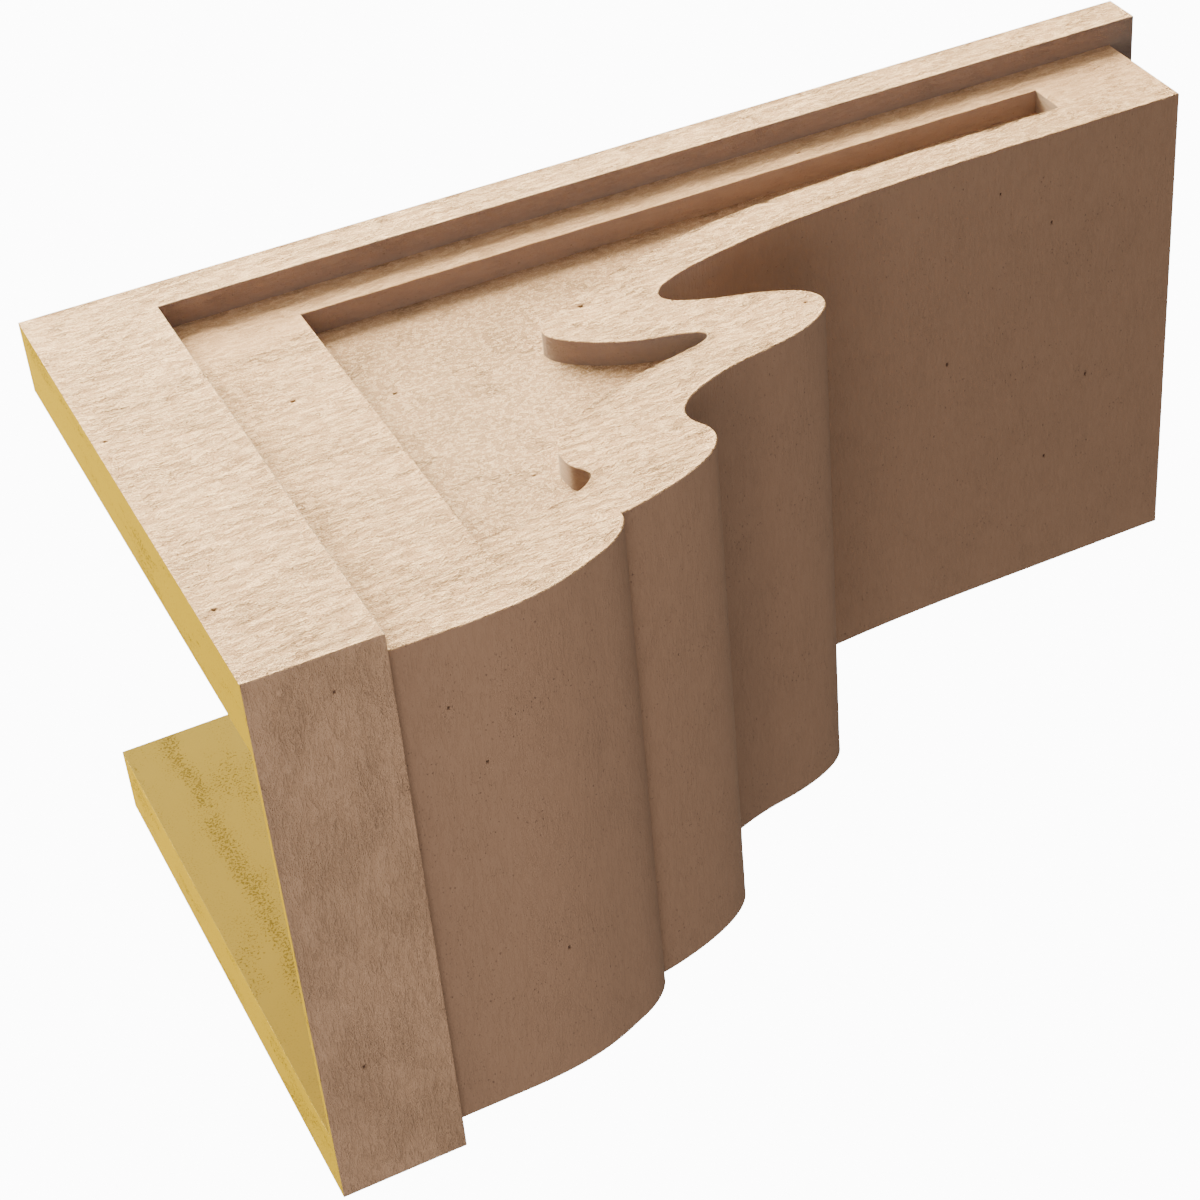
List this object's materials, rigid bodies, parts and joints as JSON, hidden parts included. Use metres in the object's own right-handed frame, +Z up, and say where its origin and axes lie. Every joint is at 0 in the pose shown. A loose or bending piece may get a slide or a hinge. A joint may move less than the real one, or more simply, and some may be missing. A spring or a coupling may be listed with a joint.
{
  "type": "scrolled corbel",
  "caption": "Hollow faux-wood corbel with a square cap, scrolled ogee front, sunk side panels and a flat backplate, open at the top and back.",
  "frame": {"origin": "middle of the foot wall's back face, in the plane of the wall that the corbel is fixed to", "axes": "+Z up along the height, +Y into the wall, -Y out from the wall towards the scrolled front, +X to the right seen from the front"},
  "size_m": [0.254, 0.254, 0.508],
  "materials": {
    "faux_wood": "tan rough-sawn faux wood skin over yellow rigid foam, matte"
  },
  "bodies": {
    "root": {"corbel": "faux_wood"}
  },
  "joints": []
}
